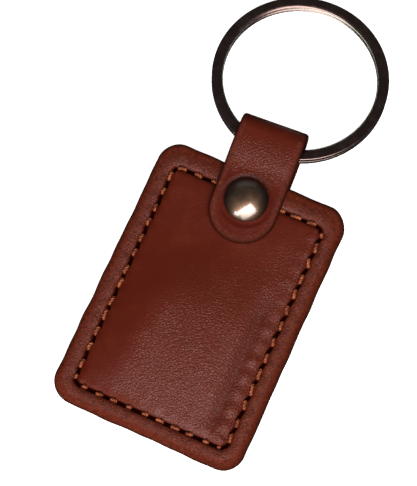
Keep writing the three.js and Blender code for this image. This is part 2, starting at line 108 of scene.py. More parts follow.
# the product of one ease for each span and its value
def fade(spans, *values):
    return math.prod(ease(*span, value) for span, value in zip(spans, values))


# a ridge of a height, at a place, with a width
def ridge(value, setting):
    height, at, width = setting
    return height * swell(value - at, width)


# uneven waves of a height and a size
def waves(x, y, setting, use):
    height, size = setting
    return height * noise.noise(Vector((x / size, y / size, seeds[use])))


def roundedEdge(x, y, halfX, halfY, corner):
    outX = abs(x) - halfX + corner
    outY = abs(y) - halfY + corner
    return math.hypot(max(outX, 0), max(outY, 0)) + min(max(outX, outY), 0) - corner


# the way along a line of points up to each of them, and the point that lies so far along it
def runsAlong(line):
    runs = [0.0]
    for before, after in zip(line, line[1:]):
        runs.append(runs[-1] + (after - before).length)
    return runs


def pointAlong(line, runs, run):
    index = clamp(bisect.bisect_right(runs, run) - 1, 0, len(line) - 2)
    part = (run - runs[index]) / (runs[index + 1] - runs[index])
    return line[index].lerp(line[index + 1], part), index


# Shader nodes: one wrapped socket, with its arithmetic
class Wire:
    def __init__(self, tree, socket):
        self.tree = tree
        self.socket = socket

    def maths(self, operation, first, second):
        node = self.tree.nodes.new("ShaderNodeMath")
        node.operation = operation
        plug(self.tree, node.inputs[0], first)
        plug(self.tree, node.inputs[1], second)
        return Wire(self.tree, node.outputs[0])

    def __add__(self, other):
        return self.maths("ADD", self, other)

    def __radd__(self, other):
        return self.maths("ADD", other, self)

    def __sub__(self, other):
        return self.maths("SUBTRACT", self, other)

    def __rsub__(self, other):
        return self.maths("SUBTRACT", other, self)

    def __mul__(self, other):
        return self.maths("MULTIPLY", self, other)

    def __rmul__(self, other):
        return self.maths("MULTIPLY", other, self)


def plug(tree, socket, value):
    if isinstance(value, Wire):
        tree.links.new(value.socket, socket)
    elif hasattr(socket.default_value, "__len__") and len(socket.default_value) == 4 and len(value) == 3:
        socket.default_value = (*value, 1)
    else:
        socket.default_value = value


socketNames = {
    "color": "Base Color",
    "roughness": "Roughness",
    "metallic": "Metallic",
    "normal": "Normal",
    "specular": "Specular IOR Level",
    "coat": "Coat Weight",
    "coatRoughness": "Coat Roughness",
    "coatRefraction": "Coat IOR",
}


class Finish:
    def __init__(self, name):
        self.material = bpy.data.materials.new(name)
        self.material.use_nodes = True
        self.tree = self.material.node_tree
        self.shader = self.tree.nodes["Principled BSDF"]

    # any node: its type, its settings, then the values or links of its sockets
    def add(self, kind, settings, sockets, out=0):
        node = self.tree.nodes.new("ShaderNode" + kind)
        for key, value in settings.items():
            setattr(node, key, value)
        for key, value in sockets.items():
            plug(self.tree, node.inputs[key], value)
        return Wire(self.tree, node.outputs[out])

    def place(self):
        return self.add("TexCoord", {}, {}, "Object")

    def painted(self, name):
        return self.add("Attribute", {"attribute_type": "GEOMETRY", "attribute_name": name}, {}, "Fac")

    def cloud(self, where, scale, detail=2.0, rough=0.5):
        sockets = {"Vector": where, "Scale": scale, "Detail": detail, "Roughness": rough}
        return self.add("TexNoise", {}, sockets)

    def cells(self, where, scale, feature="F1"):
        return self.add("TexVoronoi", {"feature": feature}, {"Vector": where, "Scale": scale}, "Distance")

    def between(self, low, high, value):
        return self.add("MapRange", {"interpolation_type": "SMOOTHSTEP"},
                        {"Value": value, "From Min": low, "From Max": high})

    # the Mix node's colour sockets go by number, because its other kinds have the same names
    def mix(self, share, first, second):
        return self.add("Mix", {"data_type": "RGBA"}, {0: share, 6: first, 7: second}, 2)

    def relief(self, height, strength, distance, under=None):
        sockets = {"Height": height, "Strength": strength, "Distance": distance}
        if under:
            sockets["Normal"] = under
        return self.add("Bump", {}, sockets)

    def set(self, **sockets):
        for key, value in sockets.items():
            plug(self.tree, self.shader.inputs[socketNames[key]], value)

    # a dull coat over the finish where the share says
    def dull(self, share, color, normal, roughness, specular):
        coat = self.add("BsdfPrincipled", {}, {
            "Base Color": color,
            "Normal": normal,
            "Roughness": roughness,
            "Specular IOR Level": specular,
        })
        bare = Wire(self.tree, self.shader.outputs[0])
        both = self.add("MixShader", {}, {0: share, 1: bare, 2: coat})
        self.tree.links.new(both.socket, self.tree.nodes["Material Output"].inputs["Surface"])


# Leather: red-brown smooth hide with a fine pebble, dark painted edges and worn margins, with painted shade
# in its hollows and on the edge roll, and a painted sheen where the pebble shows most
hide = {
    "deep": (0.084, 0.0088, 0.0034),
    "mid": (0.101, 0.0116, 0.0045),
    "warm": (0.128, 0.0198, 0.0080),
    "scuff": (0.044, 0.0082, 0.0040),
    "pale": (0.190, 0.0560, 0.0320),
    "groove": (0.034, 0.0044, 0.0020),
    "edge": (0.030, 0.0056, 0.0020),
    # painted shade for the hollows: needle slots, seam groove, slack valley and dent ring
    "pit": (0.024, 0.0024, 0.0011),
    "pebble": 2900,  # cells or waves to the metre
    "furrow": 1700,
    "crease": 900,
    "speckle": 1300,
    "rub": 2300,
    "mottle": 170,
    "cloud": 60,
    "fine": 7000,
    "wander": 1500,  # noise that bends the cells
    "wanderReach": 0.0003,  # and how far, in metres
    "toneSpan": (0.30, 0.72),
    "patchSpan": (0.5, 0.75),
    "marginSpan": (0.0, 0.35),
    "speckleSpan": (0.48, 0.62),
    "rubSpan": (0.54, 0.66),
    "grooveSpan": (0.02, 0.18),
    "furrowSpan": (0.0, 0.25),
    "reliefSpan": (0.3, 0.7),
    "creaseDepth": 0.00010,  # metres
    "grainDepth": 0.00011,
    "roughness": 0.32,
    "specular": 0.27,
    "dullRoughness": 0.75,
    "dullSpecular": 0.04,
}
# what the vertices of a leather piece tell its finish
paintNames = ("edge", "pit", "worn", "grainSheen", "matt")


def leatherFinish(name):
    finish = Finish(name)
    where = finish.place()
    wander = finish.add("TexNoise", {}, {"Vector": where, "Scale": hide["wander"], "Detail": 1.0}, 1)
    reach = (hide["wanderReach"],) * 3
    shift = finish.add("VectorMath", {"operation": "MULTIPLY_ADD"}, {0: wander, 1: reach, 2: where})
    pebble = finish.cells(shift, hide["pebble"])
    furrow = finish.cells(shift, hide["furrow"], "DISTANCE_TO_EDGE")
    fine = finish.cloud(where, hide["fine"], 3.0, 0.6)
    broad = finish.cloud(where, hide["cloud"], 3.0)
    patch = finish.cloud(where, hide["mottle"], 4.0, 0.6)
    crease = finish.cloud(shift, hide["crease"], 5.0, 0.7)
    specks = finish.cloud(where, hide["speckle"], 5.0, 0.75)
    rubs = finish.cloud(shift, hide["rub"], 4.0, 0.7)
    edge, pit, worn, grainSheen, matt = [finish.painted(paint) for paint in paintNames]

    tone = finish.between(*hide["toneSpan"], broad * 0.45 + patch * 0.55)
    color = finish.mix(tone, hide["deep"], hide["mid"])
    # painted sheen: where the pebble shows, the colour is lifted towards warm, as well as on random patches
    # and worn margins
    rubbedAndSheen = finish.between(*hide["patchSpan"], patch) * 0.4 + worn * 0.6 + grainSheen * 0.75
    color = finish.mix(rubbedAndSheen, color, hide["warm"])
    margin = finish.between(*hide["marginSpan"], worn)
    speckled = finish.between(*hide["speckleSpan"], specks) * margin
    color = finish.mix(speckled * 0.8, color, hide["scuff"])
    scuffed = finish.between(*hide["rubSpan"], rubs) * margin
    color = finish.mix(scuffed * 0.55, color, hide["pale"])
    grooves = (1 - finish.between(*hide["grooveSpan"], furrow)) * (0.08 + grainSheen * 0.34)
    color = finish.mix(grooves, color, hide["groove"])
    # dark edge paint, which on the panels also carries painted shade on the roll
    color = finish.mix(edge, color, hide["edge"])
    # painted shade in the hollows: needle slots, seam groove, slack valley and dent ring
    color = finish.mix(pit, color, hide["pit"])

    height = (1 - pebble) * 0.55 + finish.between(*hide["furrowSpan"], furrow) * 0.45 + fine * 0.10
    soft = finish.relief(crease, 0.20, hide["creaseDepth"])
    patchy = 0.3 + grainSheen * (0.35 + finish.between(*hide["reliefSpan"], patch) * 0.75)
    normal = finish.relief(height * patchy, 1.0, hide["grainDepth"], soft)
    rough = hide["roughness"] + patch * 0.05 + grooves * 0.2 + edge * 0.45 + pit * 0.4 + worn * 0.50
    finish.set(color=color, roughness=rough, normal=normal, specular=hide["specular"])
    dullness = finish.between(0.0, 1.0, edge + pit + worn * 0.75 + matt)
    finish.dull(dullness, color, normal, hide["dullRoughness"], hide["dullSpecular"])
    return finish.material


leather = leatherFinish("brown_leather")
print("leather finish made")

# Flat blank of a leather piece: a fine grid pushed to a rounded outline, its edge rolled over,
# the underside welded on and the rivet holes punched. Height runs from 0 below to 1 above.
blank = {
    "rollSteps": 6,
    "leastStep": 0.05,  # share of the thickness that is worth a straight step below the roll
    "punch": 0.1,  # faces this near to a hole go, and the others are drawn to its edge
}


def cellStops(half, bands):
    stops = [0.0]
    for end, cell in bands:
        end = min(end, half)
        count = max(1, math.ceil((end - stops[-1]) / cell))
        start = stops[-1]
        stops += [start + (end - start) * (step + 1) / count for step in range(count)]
    return [-stop for stop in reversed(stops[1:])] + stops


def only(kind, geom):
    return [item for item in geom if isinstance(item, kind)]


def punchHole(bm, holeX, holeY, radius):
    def far(vert):
        return math.hypot(vert.co.x - holeX, vert.co.y - holeY)

    limit = radius + blank["punch"]
    doomed = [face for face in bm.faces if all(far(vert) < limit for vert in face.verts)]
    bmesh.ops.delete(bm, geom=doomed, context="FACES")
    rims = [edge for edge in bm.edges if edge.is_boundary]
    for vert in {vert for edge in rims for vert in edge.verts}:
        away = far(vert)
        vert.co.x = holeX + (vert.co.x - holeX) * radius / away
        vert.co.y = holeY + (vert.co.y - holeY) * radius / away
    bmesh.ops.bridge_loops(bm, edges=rims)


def cutBlank(cut):
    rim = cut["rim"]
    halfX = cut["halfWidth"] - rim
    halfY = cut["halfLength"] - rim
    corner = cut["corner"] - rim
    columns = cellStops(halfX, cut["columns"])
    rows = cellStops(halfY, cut["rows"])
    bm = bmesh.new()
    bmesh.ops.create_grid(bm, x_segments=len(columns) - 1, y_segments=len(rows) - 1, size=1)
    for vert in bm.verts:
        x = columns[round((vert.co.x + 1) / 2 * (len(columns) - 1))]
        y = rows[round((vert.co.y + 1) / 2 * (len(rows) - 1))]
        overX = (abs(x) - halfX + corner) / corner
        overY = (abs(y) - halfY + corner) / corner
        if overX > 0 and overY > 0:  # square corner pressed into a quarter disc
            roundX = overX * math.sqrt(1 - overY * overY / 2)
            roundY = overY * math.sqrt(1 - overX * overX / 2)
            x = math.copysign(halfX - corner + corner * roundX, x)
            y = math.copysign(halfY - corner + corner * roundY, y)
        vert.co = (x, y, 1)

    def outwards(vert):
        outX = max(abs(vert.co.x) - halfX + corner, 0)
        outY = max(abs(vert.co.y) - halfY + corner, 0)
        size = max(math.hypot(outX, outY), tiny)
        return Vector((math.copysign(outX, vert.co.x) / size, math.copysign(outY, vert.co.y) / size, 0))

    def roll(loop, steps):
        reached = 0
        for reach, height in steps:
            geom = bmesh.ops.extrude_edge_only(bm, edges=loop)["geom"]
            for vert in only(bmesh.types.BMVert, geom):
                vert.co += outwards(vert) * (reach - reached)
                vert.co.z = height
            reached = reach
            loop = only(bmesh.types.BMEdge, geom)
        return loop

    top = [edge for edge in bm.edges if edge.is_boundary]
    copied = bmesh.ops.duplicate(bm, geom=bm.faces[:])["geom"]
    for vert in only(bmesh.types.BMVert, copied):
        vert.co.z = 0
    bottom = [edge for edge in only(bmesh.types.BMEdge, copied) if edge.is_boundary]
    bmesh.ops.reverse_faces(bm, faces=only(bmesh.types.BMFace, copied))
    share = rim / cut["thick"]
    lower = cut["lowerEdge"]
    turns = blank["rollSteps"]
    steps = []
    for turn in range(1, turns + 1):
        angle = math.pi / 2 * turn / turns
        steps.append((rim * math.sin(angle), 1 - share * (1 - math.cos(angle))))
    if 1 - share > lower / cut["thick"] + blank["leastStep"]:
        steps.append((rim, lower / cut["thick"]))
    outer = roll(top, steps)
    inner = roll(bottom, [(rim - lower, 0)])
    bmesh.ops.bridge_loops(bm, edges=outer + inner)
    for hole in cut["holes"]:
        punchHole(bm, *hole)
    return bm


def addObject(name, data):
    made = bpy.data.objects.new(name, data)
    bpy.context.scene.collection.objects.link(made)
    return made


def registerPiece(name, mesh, ridesOn, node, finish):
    piece = addObject(name, mesh)
    piece.data.materials.clear()
    piece.data.materials.append(finish)
    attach(piece, ridesOn)
    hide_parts(node)
    mesh.calc_loop_triangles()
    print("made", name, len(mesh.loop_triangles), "triangles")
    return piece


def finishPiece(name, bm, place, ridesOn, node, finish):
    bmesh.ops.transform(bm, matrix=place, verts=bm.verts)
    bmesh.ops.recalc_face_normals(bm, faces=bm.faces)
    for face in bm.faces:
        face.smooth = True
    mesh = bpy.data.meshes.new(name)
    bm.to_mesh(mesh)
    bm.free()
    return registerPiece(name, mesh, ridesOn, node, finish)


# Shape each vertex of a blank and paint what the finish reads there
def formBlank(bm, shape):
    paints = {name: bm.verts.layers.float.new(name) for name in paintNames}
    for vert in bm.verts:
        spot, paint = shape(vert.co.x, vert.co.y, vert.co.z)
        vert.co = spot
        for name, layer in paints.items():
            vert[layer] = clamp(paint.get(name, 0), 0, 1)


# The seam: where the needle went, and what it does to the leather round it.
# Its four sides, top, left, bottom and right, are followed in the order of sewing.
seam = {
    "inset": 3.85,
    "topInset": 4.75,
    "corner": 1.53,
    "counts": (9, 14, 10, 14),
    "stops": (2.9, 2.1, 2.1, 2.1),  # from the last hole of a side to the middle of the corner
    "lead": 0.4,
    "keepOff": 3.85,  # no needle hole nearer to the rivet
    "longest": 6,  # a longer way between two holes has no stitch
    "reach": 5.5,  # the leather is drawn no farther from the seam
    "covered": ((8.2, 6.6), (17, 20)),  # fades in across and up, under the strap
    "groove": (0.50, 0, 0.66),
    "slots": (0.92, 0.92, 1.04, 0.92),
    "slotWide": 0.34,
    "slotVary": (0.55, 1.3),
    "slotFade": (0.70, 1.22),
    "slotFloor": 0.10,
    "slants": (0.0, -0.16, 0.0, 0.20),
    "holeWidth": 0.95,
    "lobes": (0.08, 0.09, 0.14, 0.27),  # leather puffs up beside each needle hole
    "lobeVary": (0.7, 1.7),
    "lobeLow": (5, -6),  # most of all low down
    "lobeRight": (-15, -4),  # and on the right
    "lobeLean": 0.3,
    "lobeLength": 1.1,
    "lobeInset": 1.9,
    "lobeWidth": 1.25,
    "lobeOut": (0.06, 1.35, 0.75),
    "pinch": (0.17, 0, 1.3),  # and is drawn down beside each stitch
    "pinchCovered": 0.6,
}
seamHalfX = body["halfWidth"] - seam["inset"]
seamHalfY = body["halfLength"] - (seam["inset"] + seam["topInset"]) / 2
seamMiddle = Vector((0, (seam["inset"] - seam["topInset"]) / 2))


def seamSide(index, start):
    turn = math.pi / 2 * index
    reach = (seamHalfX, seamHalfY)[index % 2] - seam["corner"]
    return {
        "along": Vector((-math.cos(turn), -math.sin(turn))),
        "outward": Vector((-math.sin(turn), math.cos(turn))),
        "reach": reach,
        "core": (seamHalfY, seamHalfX)[index % 2] - seam["corner"],
        "length": 2 * reach + seam["corner"] * math.pi / 2,
        "start": start,
        "slot": seam["slots"][index],
        "slant": seam["slants"][index],
        "lobe": seam["lobes"][index],
    }


seamSides = []
for index in range(len(seam["counts"])):
    seamSides.append(seamSide(index, sum(side["length"] for side in seamSides)))
seamLength = sum(side["length"] for side in seamSides)


def seamSpot(place):
    place %= seamLength
    side = next(side for side in reversed(seamSides) if place >= side["start"])
    local = place - side["start"] - side["length"] / 2
    angle = max(abs(local) - side["reach"], 0) / seam["corner"]
    sideways = math.copysign(math.sin(angle), local)
    normal = side["along"] * sideways + side["outward"] * math.cos(angle)
    straight = clamp(local, -side["reach"], side["reach"])
    spot = seamMiddle + side["along"] * straight + side["outward"] * side["core"] + normal * seam["corner"]
    return spot, normal, side


def needleHoles():
    places = []
    for side, count, stop in zip(seamSides, seam["counts"], seam["stops"]):
        pitch = (side["length"] - seam["lead"] - stop) / (count - 1)
        places += [side["start"] + seam["lead"] + pitch * step for step in range(count)]
    rivetSpot = Vector((0, rivetY))
    return [place for place in places if (seamSpot(place)[0] - rivetSpot).length > seam["keepOff"]]


holePlaces = needleHoles()
leftOfRivet = next(index for index, place in enumerate(holePlaces) if seamSpot(place)[0].x < 0)


# how far a spot is outside the seam, and along it from the nearest needle hole
def seamAt(x, y):
    spot = Vector((x, y)) - seamMiddle
    side = max(seamSides, key=lambda side: spot.dot(side["outward"]) - side["core"])
    run = spot.dot(side["along"])
    past = max(abs(run) - side["reach"], 0)
    angle = min(math.atan2(past, max(spot.dot(side["outward"]) - side["core"], tiny)), math.pi / 4)
    local = math.copysign(min(abs(run), side["reach"]) + seam["corner"] * angle, run)
    place = side["start"] + side["length"] / 2 + local
    index = bisect.bisect(holePlaces, place)
    before = holePlaces[index - 1] - (seamLength if index == 0 else 0)
    after = holePlaces[index % len(holePlaces)] + (seamLength if index == len(holePlaces) else 0)
    away = place - before if place - before < after - place else place - after
    out = roundedEdge(spot.x, spot.y, seamHalfX, seamHalfY, seam["corner"])
    return out, away, after - before, side, place - away


def slotLength(side, place):
    return side["slot"] * (1 + waves(place % seamLength, 0, seam["slotVary"], "slot"))


def seamRelief(x, y, crown):
    out, away, gap, side, nearest = seamAt(x, y)
    if abs(out) > seam["reach"]:
        return 0, 0, out
    hole = swell(away, seam["holeWidth"])
    sewn = 1 if gap < seam["longest"] else 0
    covered = fade(seam["covered"], abs(x), y)
    height = -ridge(out, seam["groove"])
    drawn = (1 - hole) * sewn * (1 - seam["pinchCovered"] * covered)
    height -= ridge(out, seam["pinch"]) * drawn
    puff = 1 + waves(nearest, 0, seam["lobeVary"], "puff")
    puff *= 0.25 + 0.75 * ease(*seam["lobeLow"], y)
    puff *= ease(*seam["lobeRight"], x + seam["lobeLean"] * y)
    puff *= swell(away, seam["lobeLength"]) * swell(out + seam["lobeInset"], seam["lobeWidth"])
    height += side["lobe"] * crown * puff * (1 - covered)
    height += ridge(out, seam["lobeOut"]) * hole * (1 - covered)
    slot = slotLength(side, nearest)
    lean = out - side["slant"] * clamp(away / slot, -1, 1)
    past = max(abs(away) - slot + seam["slotWide"], 0)
    # the needle's slot, sunk in the leather and also painted as shade
    pit = 1 - ease(*seam["slotFade"], math.hypot(past, lean) / seam["slotWide"])
    return height, pit, out


# the height of the leather with the needle's slot sunk in it
def pierced(height, pit):
    return height * (1 - pit) + min(height, seam["slotFloor"]) * pit


# What both panels show: dark paint on the cut edge, with painted shade that spreads onto the roll and is
# heaviest on the right; painted shade along the seam groove; a worn margin
margin = {
    "thin": 0.22,
    "rightShade": 0.40,
    "rightSide": (4, 19),
    "paintAndShadeSpan": (1.45, 0.25),
    "lineShare": 0.9,
    "lineSpan": (0.32, 0.04),
    # painted shade along the seam groove
    "groove": (0.25, 0, 0.5),
    "worn": 0.38,
    "wornSpan": (0.3, 1.3),
    "outerWorn": 0.62,
    "outerSpan": (2.0, 2.9),
}


def panelPaint(x, y, out, pit):
    inset = -roundedEdge(x, y, body["halfWidth"], body["halfLength"], body["corner"])
    # painted shade: the dark edge paint spreads onto the roll and grows heavier towards the right side
    thick = margin["thin"] + margin["rightShade"] * ease(*margin["rightSide"], x)
    line = (margin["lineShare"] - thick) * ease(*margin["lineSpan"], inset)
    outerWorn = margin["outerWorn"] * ease(*margin["outerSpan"], out)
    return {
        "edge": thick * ease(*margin["paintAndShadeSpan"], inset) + line,
        # painted shade in the needle slots and along the seam groove
        "pit": pit + ridge(out, margin["groove"]),
        "worn": margin["worn"] * ease(*margin["wornSpan"], out) + outerWorn,
    }


# the soft edge of both panels wanders off the straight by the same small way
def waverEdge(x, y, out):
    share = ease(*body["waverSpan"], out)
    return x + share * waves(x, y, body["waver"], "edgeX"), y + share * waves(x, y, body["waver"], "edgeY")


# Front panel: formed over the insert, with a slack band along the right-hand seam
pillow = {
    "halfX": 14.72,
    "low": -22.72,
    "high": 12.4,
    "rise": 1.5,
    "flank": 6.0,
    "topFlank": 10.5,
    "power": 2.2,
    "corner": 1.3,  # softness of the corners
    "farthest": 40,  # keeps their exponents in range
    "crown": 1.9,  # the outer face is drawn tighter, in one long crown
    "crownSide": 10.0,
    "crownLow": 17.0,
    "crownTop": 17.5,
    "crownHigh": 13.6,
    "slack": 0.64,
    "slackInset": 4.1,
    "slackWidth": 1.35,
    "slackSpans": ((-22, -18), (9, 1)),
    "slackShade": 0.28,
    "wave": (0.035, 6.5),
    "fineWave": (0.012, 2.1),
    "waveSpan": (-0.2, 1.4),
    "quiet": ((8.5, 6.5), (11, 14)),  # nothing pushes up under the strap
    "marginDrop": 0.30,
    "marginSpan": (2.0, 3.9),
    "grainSheenSpans": ((15, -8), (-11, -4)),  # the pebble and a painted sheen show most at the lower right
    "grainSheenLean": 0.8,
    "marginGrainSheen": 0.9,
    "marginGrainSheenSpan": (2.8, 1.8),
    "matt": (0.7, -1.0, 0.9),  # and the shine least along the lower left
    "mattSpans": ((-17, -20), (4, -6)),
    "insertX": 12.52,
    "insertY": 14.535,
    "insertAt": -5.985,
    "insertCorner": 3.6,
    "insertSpan": (0.1, 0.5),
    "shelf": 0.85,
    "coverTop": 0.70,
    "clear": 0.15,
}


def pillowInset(x, y):
    sides = (
        pillow["halfX"] - abs(x),
        y - pillow["low"],
        (pillow["high"] - y) * pillow["flank"] / pillow["topFlank"],
    )
    soft = pillow["corner"]
    far = pillow["farthest"]
    return -soft * math.log(sum(math.exp(-clamp(side, -far, far) / soft) for side in sides))


def pillowRise(inset):
    share = clamp(inset / pillow["flank"], 0, 1)
    return pillow["rise"] * (1 - (1 - share) ** pillow["power"])


def crownRise(x, y):
    sideways = clamp((pillow["halfX"] - abs(x)) / pillow["crownSide"], 0, 1)
    lower = clamp((y - pillow["low"]) / pillow["crownLow"], 0, 1)
    upper = ease(0, pillow["crownTop"], pillow["crownHigh"] - y)
    return pillow["crown"] * (1 - (1 - sideways) ** 2) * (1 - (1 - lower) ** 2) * upper


# 1 over the insert, 0 outside it
def overInsert(x, y):
    gap = roundedEdge(x, y - pillow["insertAt"],
                      pillow["insertX"], pillow["insertY"], pillow["insertCorner"])
    return 1 - ease(*pillow["insertSpan"], gap)


def frontShape(x, y, share):
    relief, pit, out = seamRelief(x, y, 1)
    slack = swell(x - seamHalfX + pillow["slackInset"], pillow["slackWidth"])
    slack *= fade(pillow["slackSpans"], y, y)
    wave = waves(x, y, pillow["wave"], "front") + waves(x, y, pillow["fineWave"], "frontFine")
    wave *= (1 - fade(pillow["quiet"], abs(x), y)) * ease(*pillow["waveSpan"], abs(out))
    top = body["thick"] + crownRise(x, y) + relief - pillow["slack"] * slack
    top = pierced(top + wave - pillow["marginDrop"] * ease(*pillow["marginSpan"], out), pit)
    bottom = overInsert(x, y) * max(pillow["shelf"], pillowRise(pillowInset(x, y)))
    paint = panelPaint(x, y, out, pit)
    # painted shade along the slack valley beside the right-hand seam
    paint["pit"] += pillow["slackShade"] * slack
    # painted sheen with the pebble: most at the lower right of the pillow and along the inner margin
    if out < 0:
        paint["grainSheen"] = fade(pillow["grainSheenSpans"], y - pillow["grainSheenLean"] * x, x)
    else:
        paint["grainSheen"] = pillow["marginGrainSheen"] * ease(*pillow["marginGrainSheenSpan"], out)
    paint["matt"] = ridge(out, pillow["matt"]) * fade(pillow["mattSpans"], y, x)
    return (*waverEdge(x, y, out), bottom + (top - bottom) * share), paint


# the end and the cell size of each band of cells, finest along the seam
frontCut = dict(
    body,
    columns=[(13.2, 0.32), (17.6, 0.16), (toEdge, 0.25)],
    rows=[(20.2, 0.32), (25.6, 0.16), (toEdge, 0.25)],
    holes=[(0, rivetY, body["boreRadius"])],
)
frontBlank = cutBlank(frontCut)
formBlank(frontBlank, frontShape)
finishPiece("front_leather", frontBlank, bodyFrame, "fob", "front_panel", leather)

# Back panel: flat, with a shallow pad behind the insert
backPad = {
    "rise": 0.3,
    "flank": 1.4,
    "recess": 0.3,
    "corner": 3.6,
    "crown": 0.5,  # its seam puffs up half as much
    "wave": (0.02, 6.0),
    "waveSpan": (1, 2),
    "flatSpan": (0.5, 2.5),
    "marginDrop": 0.16,
    "marginSpan": (1.4, 3.4),
    "marginGrainSheen": 0.6,
    "marginGrainSheenSpan": (2.5, 1.5),
}


def backShape(x, y, share):
    relief, pit, out = seamRelief(x, y, backPad["crown"])
    middle = (pillow["high"] + pillow["low"]) / 2
    half = (pillow["high"] - pillow["low"]) / 2
    inset = -roundedEdge(x, y - middle, pillow["halfX"], half, backPad["corner"])
    wave = waves(x, y, backPad["wave"], "back")
    wave *= ease(*backPad["waveSpan"], abs(out)) * (1 - fade(pillow["quiet"], abs(x), y))
    wave *= 1 - ease(*backPad["flatSpan"], inset)
    outer = body["thick"] + backPad["rise"] * ease(0, backPad["flank"], inset) + relief
    outer = pierced(outer + wave - backPad["marginDrop"] * ease(*backPad["marginSpan"], out), pit)
    recess = backPad["recess"] * overInsert(x, y)
    paint = panelPaint(x, y, out, pit)
    # painted sheen with the pebble along the inner margin
    paint["grainSheen"] = backPad["marginGrainSheen"] * ease(*backPad["marginGrainSheenSpan"], out)
    return (*waverEdge(x, y, out), -recess - (outer - recess) * share), paint


backCut = dict(
    frontCut,
    columns=[(13.2, 0.45), (17.6, 0.2), (toEdge, 0.3)],
    rows=[(20.2, 0.45), (25.6, 0.2), (toEdge, 0.3)],
)
backBlank = cutBlank(backCut)
formBlank(backBlank, backShape)
finishPiece("back_leather", backBlank, bodyFrame, "fob", "back_panel", leather)

# Foam pad between the inlay and the front leather
foam = {
    "halfWidth": 11.95,
    "low": -19.95,
    "high": 7.58,
    "corner": 3.4,
    "rim": 0.18,
    "thick": 0.5,
    "thinnest": 0.12,
    "lowerEdge": 0.1,
    "cell": 0.8,
    "colorLow": (0.46, 0.42, 0.33),
    "colorHigh": (0.62, 0.58, 0.48),
    "bubbles": 2600,  # to the metre
    "bubbleDepth": 0.00015,
    "cloud": 400,
    "roughness": 0.9,
}


def foamFinish():
    finish = Finish("cream_foam")
    where = finish.place()
    bubbles = finish.cells(where, foam["bubbles"])
    tone = finish.cloud(where, foam["cloud"], 4.0)
    color = finish.mix(finish.between(0.3, 0.7, tone), foam["colorLow"], foam["colorHigh"])
    color = finish.mix(finish.between(0.3, 0.6, bubbles) * 0.5, color, foam["colorLow"])
    normal = finish.relief(bubbles, 0.6, foam["bubbleDepth"])
    finish.set(color=color, roughness=foam["roughness"] - tone * 0.1, normal=normal)
    return finish.material


def foamShape(x, y, share):
    lift = (foam["high"] + foam["low"]) / 2
    low = pillow["coverTop"]
    high = pillowRise(pillowInset(x, y + lift)) - pillow["clear"]
    return (x, y + lift, low + max(high - low, foam["thinnest"]) * share), {}


foamBlank = cutBlank(dict(
    foam,
    halfLength=(foam["high"] - foam["low"]) / 2,
    columns=[(toEdge, foam["cell"])],
    rows=[(toEdge, foam["cell"])],
    holes=[],
))
formBlank(foamBlank, foamShape)
foamPad = finishPiece("foam_pad", foamBlank, bodyFrame, "fob", "padding", foamFinish())

# Strap: one strip bent over the ring, its two rounded ends clamped by the rivet
strap = {
    "halfWidth": 6.7,
    "thick": 1.3,
    "leg": 2.25,  # height of the strip's middle over the panels
    "eye": 2.93,  # and round the ring
    "endDrop": 8.4,
    "shoulderFrom": 5.0,
    "shoulderTo": 10.8,
    "foldCentre": 13.75,
    "foldTop": 17.33,
    "foldCorner": 0.7,
    "rim": 0.45,
    "lowerEdge": 0.2,
    "cell": 0.26,
    "straightSteps": 40,
    "bendSteps": 25,
    "foldSteps": 48,
    "dent": 0.10,  # pressed circle round the rivet, with a raised lip
    "dentRadius": 5.3,
    "dentSlope": 0.5,
    "lip": (0.05, 0.35, 0.4),
    "wave": (0.02, 3.0),
    "ringShade": (0.15, -0.1, 0.28),  # painted shade: a dark ring in the slope of the dent
    "edgeShare": 0.9,
    "edgeSpan": (0.62, 0.16),
    "worn": 0.7,
    "wornSpans": ((1.6, 0.8), (0.3, 0.6)),
    "matt": 0.8,
    "mattSpan": (14.0, 15.6),
    "grainSheenSpans": ((3.5, 6.5), (14, 10), (0.8, 2.0)),
}


def strapLine():
    straight = strap["endDrop"] + strap["shoulderFrom"]
    count = strap["straightSteps"]
    line = [Vector((straight * step / count - strap["endDrop"], strap["leg"])) for step in range(count)]
    half = (strap["shoulderTo"] - strap["shoulderFrom"]) / 2
    bend = geometry.interpolate_bezier(
        Vector((strap["shoulderFrom"], strap["leg"], 0)),
        Vector((strap["shoulderFrom"] + half, strap["leg"], 0)),
        Vector((strap["shoulderTo"] - half, strap["eye"], 0)),
        Vector((strap["shoulderTo"], strap["eye"], 0)),
        strap["bendSteps"])
    line += [point.xy for point in bend]
    for step in range(strap["foldSteps"] + 1):
        angle = math.pi / 2 * (1 - step / strap["foldSteps"])
        along = strap["foldCentre"] + strap["eye"] * math.cos(angle)
        line.append(Vector((along, strap["eye"] * math.sin(angle))))
    return line + [Vector((point.x, -point.y)) for point in reversed(line[:-1])]


strapPath = strapLine()
strapRuns = runsAlong(strapPath)
strapHalf = strapRuns[-1] / 2


